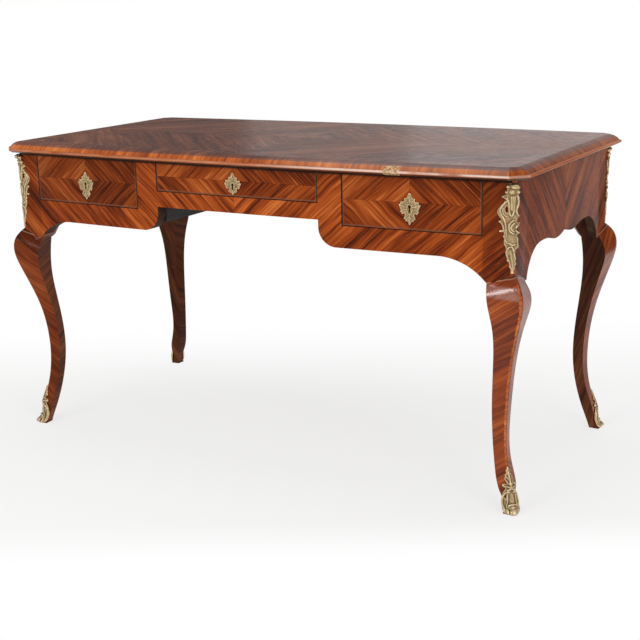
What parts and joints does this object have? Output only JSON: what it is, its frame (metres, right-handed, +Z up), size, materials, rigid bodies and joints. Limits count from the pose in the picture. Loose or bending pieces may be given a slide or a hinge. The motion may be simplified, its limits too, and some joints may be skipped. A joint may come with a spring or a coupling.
{
  "type": "bureau plat",
  "caption": "Flat-topped writing table with bowed long edges, cabriole legs, matched wood veneer, gilt bronze mounts and lockable drawers over a kneehole.",
  "frame": {"origin": "on the floor, under the middle of the top", "axes": "+X along the table to the right of a person facing its front, +Y towards its back, +Z up"},
  "size_m": [1.444, 0.7678, 0.78],
  "materials": {
    "veneer": "quarter-matched reddish brown veneer, glossy french polish",
    "crossbanding": "orange-brown veneer laid across the edge, glossy polish",
    "carcase_oak": "plain oak, unpolished and darkened with age",
    "dark_paint": "dark painted wood, matt",
    "gilt_bronze": "pale worn gilding on chased bronze",
    "lock_iron": "dark iron, filed"
  },
  "bodies": {
    "carcase": {"top_field_veneer": "veneer", "side_panel_right": "veneer", "side_panel_left": "veneer", "back_panel": "veneer", "apron_right": "veneer", "apron_left": "veneer", "drawer_divider_right": "veneer", "drawer_divider_left": "veneer", "kneehole_rail": "veneer", "leg_front_right": "veneer", "leg_front_left": "veneer", "leg_back_right": "veneer", "leg_back_left": "veneer", "top_banding": "crossbanding", "moulding_front": "crossbanding", "moulding_back": "crossbanding", "moulding_left": "crossbanding", "moulding_right": "crossbanding", "moulding_corners": "crossbanding", "top_core": "carcase_oak", "drawer_runners": "carcase_oak", "drawer_guides": "carcase_oak", "drawer_kickers": "carcase_oak", "drawer_stops": "carcase_oak", "glue_blocks": "carcase_oak", "kneehole_cheek_right": "dark_paint", "kneehole_cheek_left": "dark_paint", "chute_front_right": "gilt_bronze", "chute_front_left": "gilt_bronze", "chute_back_right": "gilt_bronze", "chute_back_left": "gilt_bronze", "sabot_front_right": "gilt_bronze", "sabot_front_left": "gilt_bronze", "sabot_back_right": "gilt_bronze", "sabot_back_left": "gilt_bronze", "top_screws": "lock_iron"},
    "drawer_left": {"drawer_left_front": "veneer", "drawer_left_sides": "carcase_oak", "drawer_left_back": "carcase_oak", "drawer_left_bottom": "carcase_oak", "lock_case_left": "lock_iron", "escutcheon_left": "gilt_bronze", "escutcheon_nails_left": "gilt_bronze"},
    "bolt_left": {"lock_bolt_left": "lock_iron"},
    "drawer_centre": {"drawer_centre_front": "veneer", "drawer_centre_sides": "carcase_oak", "drawer_centre_back": "carcase_oak", "drawer_centre_bottom": "carcase_oak", "lock_case_centre": "lock_iron", "escutcheon_centre": "gilt_bronze", "escutcheon_nails_centre": "gilt_bronze"},
    "bolt_centre": {"lock_bolt_centre": "lock_iron"},
    "drawer_right": {"drawer_right_front": "veneer", "drawer_right_sides": "carcase_oak", "drawer_right_back": "carcase_oak", "drawer_right_bottom": "carcase_oak", "lock_case_right": "lock_iron", "escutcheon_right": "gilt_bronze", "escutcheon_nails_right": "gilt_bronze"},
    "bolt_right": {"lock_bolt_right": "lock_iron"}
  },
  "joints": [
    {"name": "drawer_left_slide", "type": "slide", "parent": "carcase", "child": "drawer_left", "axis": [0, -1, 0], "range_m": [0, 0.4]},
    {"name": "bolt_left_throw", "type": "slide", "parent": "drawer_left", "child": "bolt_left", "axis": [0, 0, 1], "range_m": [0, 0.009]},
    {"name": "drawer_centre_slide", "type": "slide", "parent": "carcase", "child": "drawer_centre", "axis": [0, -1, 0], "range_m": [0, 0.4]},
    {"name": "bolt_centre_throw", "type": "slide", "parent": "drawer_centre", "child": "bolt_centre", "axis": [0, 0, 1], "range_m": [0, 0.009]},
    {"name": "drawer_right_slide", "type": "slide", "parent": "carcase", "child": "drawer_right", "axis": [0, -1, 0], "range_m": [0, 0.4]},
    {"name": "bolt_right_throw", "type": "slide", "parent": "drawer_right", "child": "bolt_right", "axis": [0, 0, 1], "range_m": [0, 0.009]}
  ]
}
